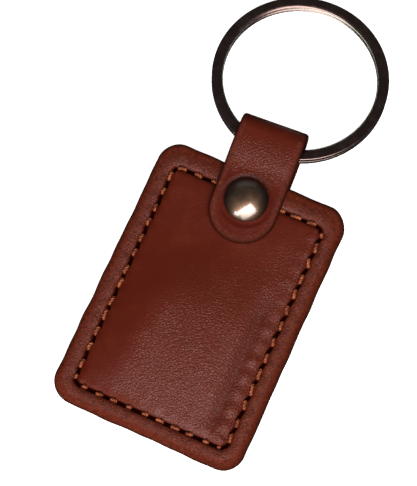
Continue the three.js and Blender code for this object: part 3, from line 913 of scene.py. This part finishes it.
def strapShape(x, run, share):
    run = clamp(run + strapHalf, 0, strapRuns[-1])
    spot, index = pointAlong(strapPath, strapRuns, run)
    before = strapPath[max(index - 1, 0)]
    after = strapPath[min(index + 2, len(strapPath) - 1)]
    along = (after - before).normalized()
    lift = (share - 0.5) * strap["thick"]
    front = spot.y > 0
    radius = strap["dentRadius"]
    away = math.hypot(x, spot.x)
    if front:
        press = strap["dent"] * (1 - ease(radius - strap["dentSlope"], radius, away))
        lift += share * (ridge(away - radius, strap["lip"]) - press + waves(x, run, strap["wave"], "strap"))
    high = spot.x - along.y * lift
    over = clamp(high - strap["foldTop"] + strap["foldCorner"], 0, strap["foldCorner"])
    tuck = strap["foldCorner"] - math.sqrt(strap["foldCorner"] ** 2 - over ** 2)
    across = x * (1 - tuck / strap["halfWidth"])
    side = -roundedEdge(x, run - strapHalf, strap["halfWidth"], strapHalf, strap["halfWidth"])
    # painted shade in the dent ring round the rivet, and a painted sheen with the pebble on the shoulder
    paint = {
        "edge": ease(*strap["edgeSpan"], side) * strap["edgeShare"],
        "pit": ridge(away - radius, strap["ringShade"]) * share if front else 0,
        "worn": strap["worn"] * fade(strap["wornSpans"], side, side),
        "matt": strap["matt"] * ease(*strap["mattSpan"], high),
        "grainSheen": fade(strap["grainSheenSpans"], spot.x, spot.x, side),
    }
    return (across, high, spot.y + along.x * lift), paint


rivetRun = strap["endDrop"] - strapHalf
strapBlank = cutBlank(dict(
    strap,
    halfLength=strapHalf,
    corner=strap["halfWidth"],
    columns=[(toEdge, strap["cell"])],
    rows=[(toEdge, strap["cell"])],
    holes=[(0, rivetRun, body["boreRadius"]), (0, -rivetRun, body["boreRadius"])],
))
formBlank(strapBlank, strapShape)
finishPiece("folded_strap", strapBlank, strapFrame, "strap_loop", "strap", leather)

# Lockstitch: two twisted plies that lie in the groove and dip into every hole
stitch = {
    "top": 1.26,
    "arch": 0.10,
    "pressed": 0.15,  # the strap bears on the thread that it covers
    "covered": ((9.6, 8.0), (18, 20)),
    "dip": 0.34,
    "fall": (0.16, 0.28),  # how far before and after the slot's end the thread dives
    "leanIn": 0.55,
    "wander": (0.24, 1.9),
    "samples": 80,  # to a stitch, before the line is spaced evenly
    "step": 0.11,
    "plyRadius": 0.165,
    "plyReach": 0.165,
    "twist": 1.2,
    "low": (0.110, 0.016, 0.005),
    "high": (0.470, 0.130, 0.048),
    # painted shade: the thread turns near black where it sinks into a needle hole
    "sunk": (0.016, 0.0010, 0.0005),
    "sunkSpan": (1.15, 0.75),
    "sunkRoughness": 0.9,
    "fibre": 9000,  # waves to the metre
    "shade": 800,
    "shadeSpan": (0.36, 0.66),
    "fibreDepth": 0.00006,
    "roughness": 0.42,
    "specular": 0.3,
}


def evenly(line, step):
    runs = runsAlong(line)
    count = round(runs[-1] / step)
    return [pointAlong(line, runs, runs[-1] * number / count)[0] for number in range(count + 1)]


def threadLine(side):
    rounded = holePlaces[leftOfRivet:] + [place + seamLength for place in holePlaces[:leftOfRivet]]
    dense = []
    for start, end in zip(rounded, rounded[1:]):
        pitch = end - start
        for step in range(stitch["samples"]):
            run = pitch * step / stitch["samples"]
            near = min(run, pitch - run)
            spot, normal, edge = seamSpot(start + run)
            slot = slotLength(edge, start if run < pitch / 2 else end)
            sink = 1 - ease(slot - stitch["fall"][0], slot + stitch["fall"][1], near)
            lean = edge["slant"] * ease(0, stitch["leanIn"], near) * (1 - 2 * run / pitch)
            lean += waves(start % seamLength, run, stitch["wander"], "thread")
            height = stitch["top"] + stitch["arch"] * math.sin(math.pi * run / pitch)
            height -= stitch["pressed"] * fade(stitch["covered"], abs(spot.x), spot.y)
            height += (stitch["dip"] - height) * sink
            spot = spot + normal * lean
            dense.append(Vector((spot.x, spot.y, side * height)))
    last = seamSpot(rounded[-1])[0]
    dense.append(Vector((last.x, last.y, side * stitch["dip"])))
    return evenly(dense, stitch["step"])


def pliedThread(name, side, node, finish):
    line = threadLine(side)
    curve = bpy.data.curves.new(name, "CURVE")
    curve.dimensions = "3D"
    curve.bevel_depth = stitch["plyRadius"] * mm
    curve.bevel_resolution = 1
    curve.use_fill_caps = True
    plies = [[], []]
    normal = Vector((0, 0, 1))
    for index, point in enumerate(line):
        along = (line[min(index + 1, len(line) - 1)] - line[max(index - 1, 0)]).normalized()
        normal = (normal - along * normal.dot(along)).normalized()
        sideways = along.cross(normal)
        for number, ply in enumerate(plies):
            angle = 2 * math.pi * (index * stitch["step"] / stitch["twist"] + number / len(plies))
            ply.append(point + (normal * math.cos(angle) + sideways * math.sin(angle)) * stitch["plyReach"])
    for ply in plies:
        spline = curve.splines.new("POLY")
        spline.points.add(len(ply) - 1)
        for knot, point in zip(spline.points, ply):
            knot.co = (*(bodyFrame @ point), 1)
    holder = addObject(name + "_line", curve)
    bpy.context.view_layer.update()
    mesh = bpy.data.meshes.new_from_object(holder.evaluated_get(bpy.context.evaluated_depsgraph_get()))
    bpy.data.objects.remove(holder)
    mesh.name = name
    mesh.polygons.foreach_set("use_smooth", [True] * len(mesh.polygons))
    # how deep each point of the thread lies, for the painted shade in the needle holes
    heights = [abs(vert.co.z - bodyPlace.z) / mm for vert in mesh.vertices]
    sunk = mesh.attributes.new("sunk", "FLOAT", "POINT")
    sunk.data.foreach_set("value", [ease(*stitch["sunkSpan"], height) for height in heights])
    registerPiece(name, mesh, "fob", node, finish)


def threadFinish():
    finish = Finish("copper_thread")
    where = finish.place()
    fibre = finish.cloud(where, stitch["fibre"], 3.0, 0.65)
    shade = finish.cloud(where, stitch["shade"], 3.0, 0.6)
    tone = finish.between(*stitch["shadeSpan"], fibre * 0.4 + shade * 0.6)
    color = finish.mix(tone, stitch["low"], stitch["high"])
    normal = finish.relief(fibre, 0.5, stitch["fibreDepth"])
    rough = stitch["roughness"] + fibre * 0.2
    finish.set(color=color, roughness=rough, normal=normal, specular=stitch["specular"])
    # painted shade, dull and near black, where the thread is sunk
    finish.dull(finish.painted("sunk"), stitch["sunk"], normal, stitch["sunkRoughness"], 0.0)
    return finish.material


threadLook = threadFinish()
pliedThread("needle_stitches", 1, "needle_thread", threadLook)
pliedThread("bobbin_stitches", -1, "bobbin_thread", threadLook)

# Rivet: polished dark dome in front, low head behind
rivet = {
    "radius": 4.3,
    "base": 2.8,
    "rim": 0.9,
    "height": 2.72,
    "shell": 0.4,
    "lip": 0.9,
    "headRadius": 4.0,
    "headTop": -3.0,
    "headHeight": 1.1,
    "pinRadius": 1.1,
    "steps": 96,
    "domeSteps": 30,
    "rimSteps": 6,
    "insideSteps": 14,
    "headSteps": 24,
    "weld": 1e-4,
    "rimSpan": (0.5, 1.0),  # share of the radius where the painted rim shade comes in
}
nickel = {
    "dome": {"low": (0.215, 0.112, 0.062), "high": (0.275, 0.148, 0.086), "roughness": 0.40,
             "coat": 1.0, "coatRefraction": 2.25, "coatRoughness": 0.16},
    "ring": {"low": (0.190, 0.120, 0.106), "high": (0.212, 0.138, 0.122), "roughness": 0.25,
             "coat": 0.35, "coatRefraction": 1.5, "coatRoughness": 0.07},
    "rimShade": (0.040, 0.020, 0.013),  # painted shade round the rim of the dome
    "rimShadeShare": 0.85,
    "rimCoatLoss": 0.7,  # share of the coat that the rim loses
    "smear": 500,  # waves to the metre
    "speck": 4500,
    "speckDepth": 0.00003,
}


def nickelFinish(name):
    look = nickel[name]
    finish = Finish(name + "_nickel")
    where = finish.place()
    smear = finish.cloud(where, nickel["smear"], 4.0, 0.6)
    speck = finish.cloud(where, nickel["speck"], 3.0, 0.6)
    rim = finish.painted("rim")
    color = finish.mix(finish.between(0.35, 0.7, smear), look["low"], look["high"])
    # painted shade: the dome darkens and loses coat towards its rim
    color = finish.mix(rim * nickel["rimShadeShare"], color, nickel["rimShade"])
    normal = finish.relief(speck, 0.12, nickel["speckDepth"])
    finish.set(
        color=color,
        metallic=1.0,
        roughness=look["roughness"] + finish.between(0.4, 0.75, smear) * 0.08,
        normal=normal,
        coat=look["coat"] - rim * (look["coat"] * nickel["rimCoatLoss"]),
        coatRoughness=look["coatRoughness"],
        coatRefraction=look["coatRefraction"],
    )
    return finish.material


def turnedProfile(profile):
    bm = bmesh.new()
    verts = [bm.verts.new((radius, 0, height)) for radius, height in profile]
    edges = [bm.edges.new(pair) for pair in zip(verts, verts[1:])]
    bmesh.ops.spin(bm, geom=verts + edges, cent=(0, 0, 0), axis=(0, 0, 1),
                   angle=2 * math.pi, steps=rivet["steps"], use_merge=True)
    bmesh.ops.remove_doubles(bm, verts=bm.verts, dist=rivet["weld"])
    return bm


def domeProfile(base, height, radius, steps):
    ball = (radius ** 2 + height ** 2) / (2 * height)
    spread = math.asin(min(radius / ball, 1))
    profile = []
    for step in range(steps + 1):
        angle = spread * step / steps
        profile.append((ball * math.sin(angle), base + height - ball * (1 - math.cos(angle))))
    return profile


def capProfile():
    radius, shell, lip = rivet["radius"], rivet["shell"], rivet["lip"]
    base = rivet["base"] + rivet["rim"]
    height = rivet["height"] - rivet["rim"]
    outside = domeProfile(base, height, radius, rivet["domeSteps"])
    rolled = []
    for step in range(1, rivet["rimSteps"] + 1):
        angle = math.pi / 2 * step / rivet["rimSteps"]
        rolled.append((radius - shell * (1 - math.cos(angle)), base - rivet["rim"] * math.sin(angle)))
    inside = domeProfile(base, height - shell, radius - shell, rivet["insideSteps"])
    tucked = [(radius - shell - lip, rivet["base"]), (radius - shell - lip, base)]
    return outside + rolled + tucked + inside[::-1]


def postProfile():
    head = domeProfile(0, rivet["headHeight"], rivet["headRadius"], rivet["headSteps"])
    outside = [(radius, rivet["headTop"] - height) for radius, height in head]
    pin = rivet["pinRadius"]
    tip = rivet["base"]
    return outside + [(pin, rivet["headTop"]), (pin, tip - pin / 2), (pin / 2, tip), (0, tip)]


capLook = nickelFinish("dome")
ringLook = nickelFinish("ring")
capShape = turnedProfile(capProfile())
# how far out each point lies, for the painted rim shade
rimPaint = capShape.verts.layers.float.new("rim")
for vert in capShape.verts:
    vert[rimPaint] = ease(*rivet["rimSpan"], vert.co.xy.length / rivet["radius"])
finishPiece("rivet_dome", capShape, rivetFrame, "fob", "rivet_cap", capLook)
headShape = turnedProfile(postProfile())
finishPiece("rivet_back_head", headShape, rivetFrame, "fob", "rivet_post", capLook)

# Split ring: flat wire with rounded edges, wound twice and stepping down inside the strap
ring = {
    "outer": 17.55,
    "wide": 2.28,
    "thick": 1.1,
    "softInside": 0.52,
    "softOutside": 0.15,
    "softSteps": 7,
    "stretch": 1.8,  # the softened edges are wider than they are deep
    "gap": 0.05,
    "stepAngle": 26,
    "stepPlace": 259,
    "stepCount": 12,
    "endGap": 1.5,
    "sideShift": 0.8,
    "pivotRadius": 15.504,
    "droop": 5.0846,
    "turnSteps": 110,
    "flatWeight": 100,  # the flat faces rule the normals
}


def woundWire():
    level = (ring["thick"] + ring["gap"]) / 2
    bm = bmesh.new()
    bmesh.ops.create_grid(bm, x_segments=1, y_segments=1, size=0.5)
    bmesh.ops.scale(bm, vec=(ring["wide"] / ring["stretch"], ring["thick"], 1), verts=bm.verts)
    inside = [vert for vert in bm.verts if vert.co.x < 0]
    outside = [vert for vert in bm.verts if vert.co.x > 0]
    for corners, soften in ((inside, ring["softInside"]), (outside, ring["softOutside"])):
        bmesh.ops.bevel(bm, geom=corners, offset=soften, affect="VERTICES",
                        segments=ring["softSteps"], profile=0.5, material=-1)
    bmesh.ops.scale(bm, vec=(ring["stretch"], 1, 1), verts=bm.verts)
    first = ring["stepAngle"] / 2 + ring["endGap"]
    upright = Matrix.Rotation(math.pi / 2, 3, "X")
    toStart = Matrix.Rotation(math.radians(first + ring["stepPlace"]), 3, "Z")
    bmesh.ops.rotate(bm, cent=(0, 0, 0), matrix=upright, verts=bm.verts)
    bmesh.ops.translate(bm, vec=(ring["outer"] - ring["wide"] / 2, 0, level), verts=bm.verts)
    bmesh.ops.rotate(bm, cent=(0, 0, 0), matrix=toStart, verts=bm.verts)
    turn = (math.radians(360 - ring["stepAngle"] / 2 - first), ring["turnSteps"], 0)
    count = ring["stepCount"]
    stages = [turn]
    for step in range(count):
        drop = 2 * level * (ease(0, 1, (step + 1) / count) - ease(0, 1, step / count))
        stages.append((math.radians(ring["stepAngle"] / count), 1, -drop))
    stages.append(turn)
    end = bm.faces[:]
    for angle, steps, drop in stages:
        end = bmesh.ops.spin(bm, geom=end, cent=(0, 0, 0), axis=(0, 0, 1), dvec=(0, 0, drop),
                             angle=angle, steps=steps)["geom_last"]
    return bm


ringFrame = (Matrix.Translation(swingPlace) @ Matrix.Scale(mm, 4) @ strapTurn
             @ Matrix.Rotation(-math.radians(ring["droop"]), 4, "X")
             @ Matrix.Translation((ring["sideShift"], ring["pivotRadius"], 0)))
ringWire = finishPiece("ring_wire", woundWire(), ringFrame,
                       "key_ring", "split_ring", ringLook)
evenOut = ringWire.modifiers.new("flat_faces", "WEIGHTED_NORMAL")
evenOut.weight = ring["flatWeight"]

# The CAD nodes that stay: sheet plastic, copper, chip, tabs and barrel
inner = {
    "sheet": {"nodes": ("inlay_carrier", "inlay_cover"), "roughness": 0.55, "metallic": 0.0,
              "low": (0.70, 0.66, 0.55), "high": (0.78, 0.75, 0.66)},
    "copper": {"nodes": ("antenna_coil", "antenna_bridge"), "roughness": 0.32, "metallic": 1.0,
               "low": (0.62, 0.24, 0.11), "high": (0.78, 0.36, 0.19)},
    "epoxy": {"nodes": ("chip_package",), "roughness": 0.5, "metallic": 0.0,
              "low": (0.012, 0.012, 0.013), "high": (0.022, 0.021, 0.022)},
    "tin": {"nodes": ("chip_tab_inner", "chip_tab_outer"), "roughness": 0.36, "metallic": 1.0,
            "low": (0.48, 0.47, 0.44), "high": (0.62, 0.61, 0.58)},
    "steel": {"nodes": ("rivet_barrel",), "roughness": 0.34, "metallic": 1.0,
              "low": (0.34, 0.33, 0.31), "high": (0.50, 0.48, 0.46)},
}
innerGrain = {"smear": 450, "speck": 5000, "depth": 0.00003}  # waves to the metre, and metres


def innerFinish(name, look):
    finish = Finish("inner_" + name)
    where = finish.place()
    smear = finish.cloud(where, innerGrain["smear"], 4.0, 0.6)
    speck = finish.cloud(where, innerGrain["speck"], 2.0)
    color = finish.mix(finish.between(0.3, 0.7, smear), look["low"], look["high"])
    normal = finish.relief(speck, 0.2, innerGrain["depth"])
    rough = look["roughness"] + speck * 0.12
    finish.set(color=color, metallic=look["metallic"], roughness=rough, normal=normal)
    return finish.material


for name, look in inner.items():
    made = innerFinish(name, look)
    for nodeName in look["nodes"]:
        node = frame["nodes"][nodeName]
        node.data.materials.clear()
        node.data.materials.append(made)
print("inner finishes made")

# Floor, light and camera
studio = {
    "floorRadius": 2.5,
    "floorSides": 96,
    "floor": (0.92, 0.92, 0.91),
    "floorPale": (0.94, 0.94, 0.94),
    "floorCloud": 40,
    "floorRoughness": 0.8,
    "floorSpecular": 0.2,
    "floorGlow": 1.0,
    "world": 0.055,
    "lights": {  # seen from the body; sizes in metres, across and up the picture
        "key": {"towards": (0.315, -0.550, 0.773), "far": 0.60,
                "size": (0.70, 0.46), "roll": 33, "power": 6.4},
        "side": {"towards": (-0.263, -0.812, 0.520), "far": 0.60,
                 "size": (0.20, 0.14), "roll": 0, "power": 1.0},
        "far": {"towards": (-0.360, 0.880, 0.240), "far": 0.70,
                "size": (0.70, 0.30), "roll": 0, "power": 0.08},
    },
    "card": {  # disc light on the floor inside the ring, in millimetres, facing up
        "across": 10.5,
        "spot": (0.3, 9.9),
        "height": 0.3,
        "power": 0.0032,
        "color": (0.58, 0.86, 0.80),
    },
}
view = {
    "spot": (33.575, -52.791, 298.587),  # from the middle of the body, in millimetres
    "right": (0.9111, 0.411431, -0.024749),
    "up": (-0.394126, 0.887195, 0.239889),
    "back": (0.120652, -0.20881, 0.97049),
    "sensor": 36.0,
    "lens": 138.13,
    "near": 0.01,
    "far": 20,
}
floorFinish = Finish("pale_floor")
paper = floorFinish.cloud(floorFinish.place(), studio["floorCloud"])
floorTone = floorFinish.mix(paper, studio["floor"], studio["floorPale"])
floorFinish.set(color=floorTone, roughness=studio["floorRoughness"], specular=studio["floorSpecular"])
floorFinish.shader.inputs["Emission Color"].default_value = (1, 1, 1, 1)
floorFinish.shader.inputs["Emission Strength"].default_value = studio["floorGlow"]
floorShape = bmesh.new()
bmesh.ops.create_circle(floorShape, cap_ends=True,
                        segments=studio["floorSides"], radius=studio["floorRadius"])
floorMesh = bpy.data.meshes.new("floor")
floorShape.to_mesh(floorMesh)
floorShape.free()
floor = addObject("floor", floorMesh)
floor.data.materials.append(floorFinish.material)
floor.visible_diffuse = False  # the white ground throws no light back on the edges
floor.visible_glossy = False

for name, lit in studio["lights"].items():
    light = bpy.data.lights.new(name, "AREA")
    light.shape = "RECTANGLE"
    light.size, light.size_y = lit["size"]
    light.energy = lit["power"]
    lamp = addObject(name, light)
    way = Vector(lit["towards"]).normalized()
    above = way.cross(Vector(view["right"])).normalized()
    lamp.matrix_world = (Matrix.Translation(bodyPlace + way * lit["far"])
                         @ Matrix((above.cross(way), above, way)).transposed().to_4x4()
                         @ Matrix.Rotation(math.radians(lit["roll"]), 4, "Z"))
card = studio["card"]
cardLight = bpy.data.lights.new("card", "AREA")
cardLight.shape = "DISK"
cardLight.size = card["across"] * mm
cardLight.energy = card["power"]
cardLight.color = card["color"]
cardLamp = addObject("card", cardLight)
cardSpot = ringFrame @ Vector((*card["spot"], 0))
cardLamp.matrix_world = (Matrix.Translation((cardSpot.x, cardSpot.y, card["height"] * mm))
                         @ Matrix.Rotation(math.pi, 4, "X"))
world = bpy.data.worlds.new("studio")
world.use_nodes = True
background = world.node_tree.nodes["Background"].inputs
background["Color"].default_value = (1, 1, 1, 1)
background["Strength"].default_value = studio["world"]
bpy.context.scene.world = world
bpy.context.scene.view_settings.view_transform = "Standard"

lensData = bpy.data.cameras.new("camera")
lensData.sensor_fit = "HORIZONTAL"
lensData.sensor_width = view["sensor"]
lensData.lens = view["lens"]
lensData.clip_start = view["near"]
lensData.clip_end = view["far"]
camera = addObject("camera", lensData)
turn = Matrix((view["right"], view["up"], view["back"])).transposed().to_4x4()
camera.matrix_world = Matrix.Translation(bodyPlace + Vector(view["spot"]) * mm) @ turn
bpy.context.scene.camera = camera
print("studio made")

bpy.context.view_layer.update()
